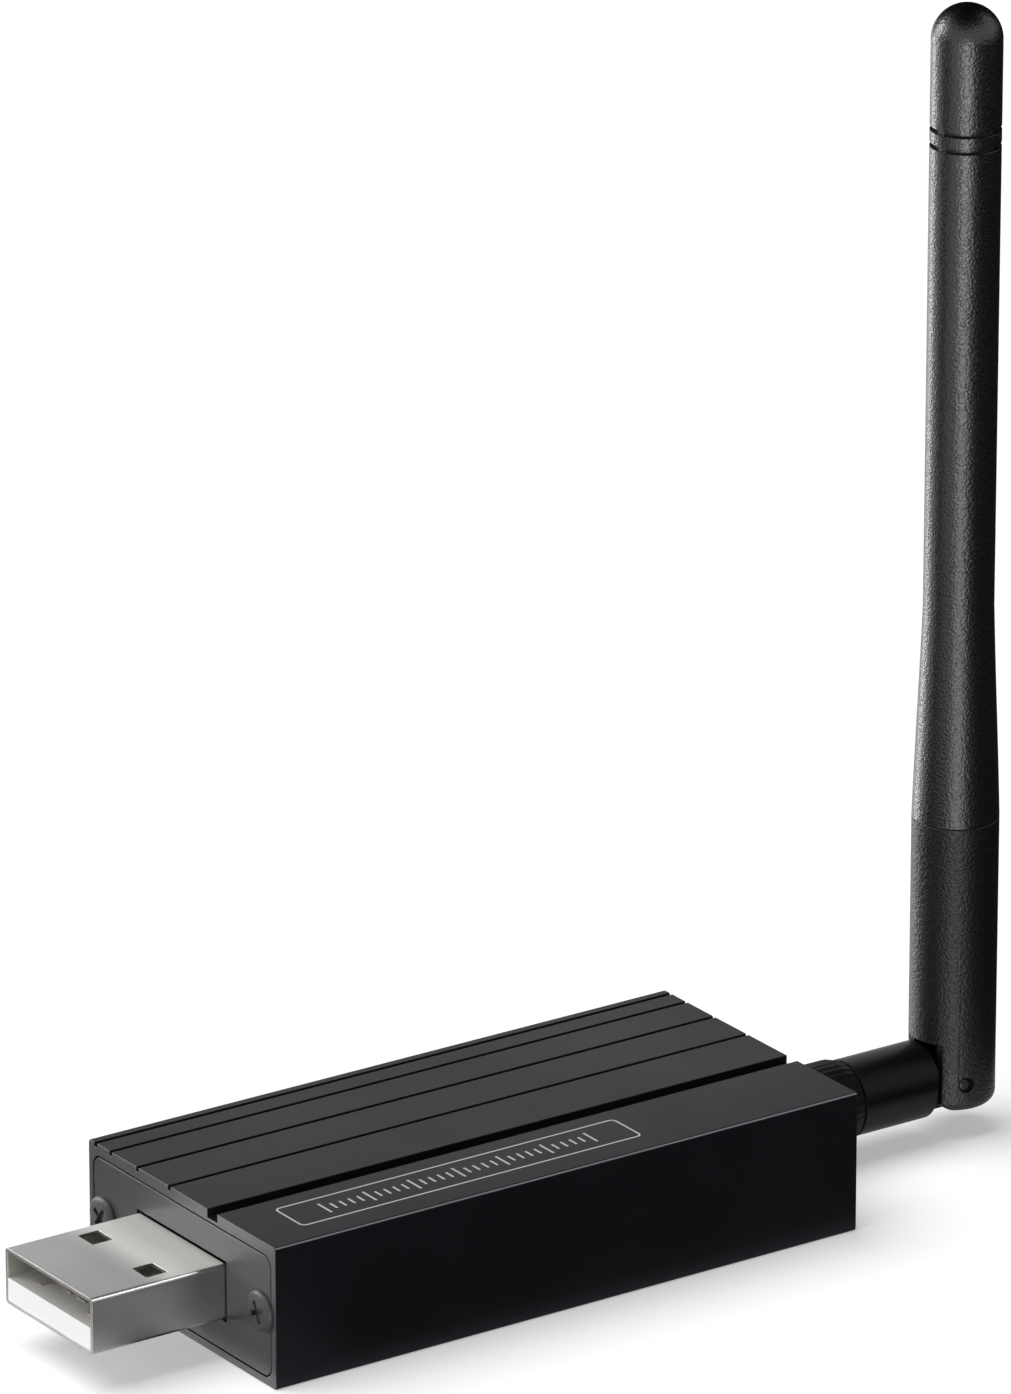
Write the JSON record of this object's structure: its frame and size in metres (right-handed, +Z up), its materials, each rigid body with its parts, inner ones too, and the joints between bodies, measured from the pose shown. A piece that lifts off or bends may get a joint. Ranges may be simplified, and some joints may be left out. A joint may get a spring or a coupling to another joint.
{
  "type": "smart home usb radio stick",
  "caption": "Slim grooved aluminium USB stick for a smart home radio network, with a hinged rod antenna on a swivelling knuckle at the rear.",
  "frame": {"origin": "middle of the case's underside", "axes": "+X runs from the plug to the antenna, +Z is up along the raised antenna, +Y is the side of the thin grooves"},
  "size_m": [0.0866, 0.0254, 0.0914],
  "materials": {
    "anodised_black": "black anodised, fine satin",
    "plate_black": "black coated end plate",
    "screw_black": "black oxide",
    "nickel": "nickel plated, satin",
    "white_insulator": "white moulded",
    "gold_plate": "gold plated",
    "board_black": "solder mask over glass laminate",
    "shield_tin": "tin plated",
    "chip_black": "moulded epoxy",
    "crystal_metal": "ground lid",
    "ceramic_tan": "ceramic",
    "ceramic_black": "ceramic",
    "lamp_clear": "clear resin",
    "jack_gold": "gold plated",
    "dielectric_white": "white dielectric",
    "washer_steel": "plated",
    "coupling_black": "black plated",
    "barrel_black": "smooth satin",
    "base_black": "fine moulded texture, matte",
    "sleeve_black": "fine moulded texture, satin",
    "pin_steel": "blackened",
    "coax_brown": "smooth jacket",
    "radiator_brass": "plain",
    "wire_copper": "bare copper"
  },
  "bodies": {
    "stick": {"case_extrusion": "anodised_black", "front_plate": "plate_black", "rear_plate": "plate_black", "front_screws": "screw_black", "rear_screws": "screw_black", "usb_shell": "nickel", "usb_insulator": "white_insulator", "usb_contacts": "gold_plate", "main_board": "board_black", "radio_module_board": "board_black", "radio_shield_can": "shield_tin", "usb_bridge_chip": "chip_black", "voltage_regulator": "chip_black", "crystal": "crystal_metal", "chip_capacitors": "ceramic_tan", "chip_resistors": "ceramic_black", "status_leds": "lamp_clear", "antenna_jack": "jack_gold", "jack_insulator": "dielectric_white", "jack_center_contact": "gold_plate", "jack_lock_washer": "washer_steel", "jack_panel_nut": "jack_gold", "coupling_nut": "coupling_black"},
    "knuckle": {"connector_ferrule": "jack_gold", "connector_insulator": "dielectric_white", "connector_pin": "gold_plate", "knuckle_barrel": "barrel_black"},
    "antenna": {"antenna_base": "base_black", "hinge_pin": "pin_steel", "antenna_sleeve": "sleeve_black", "feed_coax": "coax_brown", "radiator_sleeve": "radiator_brass", "radiator_wire": "wire_copper"}
  },
  "joints": [
    {"name": "antenna_swivel", "type": "hinge", "parent": "stick", "child": "knuckle", "pos_m": [0.0265, 0, 0.0047], "axis": [1, 0, 0], "continuous": true},
    {"name": "antenna_tilt", "type": "hinge", "parent": "knuckle", "child": "antenna", "pos_m": [0.044, 0, 0.0047], "axis": [0, 1, 0], "range_deg": [0, 90]}
  ]
}
